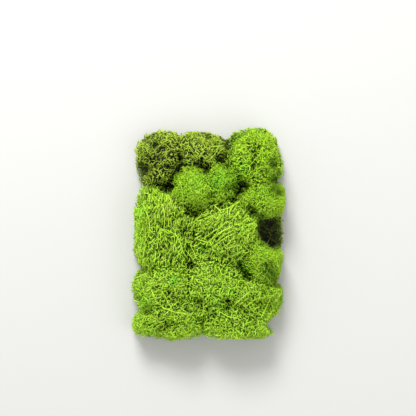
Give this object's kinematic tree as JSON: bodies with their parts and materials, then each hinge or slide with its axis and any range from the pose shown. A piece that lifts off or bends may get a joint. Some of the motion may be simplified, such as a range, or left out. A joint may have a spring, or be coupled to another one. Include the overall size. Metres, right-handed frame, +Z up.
{
  "type": "reindeer moss clump",
  "caption": "Clump of dyed green preserved reindeer moss: tufts of fine forked lichen stems matted side by side, lying on its underside.",
  "frame": {"origin": "on the surface that the clump lies on, under the middle of its outermost points", "axes": "+Z up, through the clump's thickness; +Y along its length, towards the edge at the picture's top; +X across it, to the picture's right"},
  "size_m": [0.1244, 0.1728, 0.0514],
  "materials": {
    "olive_moss": "matte, soft dyed lichen stems",
    "leaf_moss": "matte, soft dyed lichen stems",
    "lime_moss": "matte, soft dyed lichen stems"
  },
  "bodies": {
    "root": {"tuft_upper_left": "olive_moss", "tuft_upper_middle": "olive_moss", "tuft_round_head": "leaf_moss", "tuft_small_head": "leaf_moss", "tuft_upper_right": "leaf_moss", "tuft_right_shoulder": "leaf_moss", "tuft_left_bank": "lime_moss", "tuft_centre_bank": "lime_moss", "tuft_right_low": "olive_moss", "tuft_lower_left": "lime_moss", "tuft_lower_middle": "lime_moss", "tuft_right_head": "leaf_moss", "tuft_lower_right": "lime_moss", "tuft_bottom_left": "lime_moss", "tuft_bottom_right": "lime_moss"}
  },
  "joints": []
}
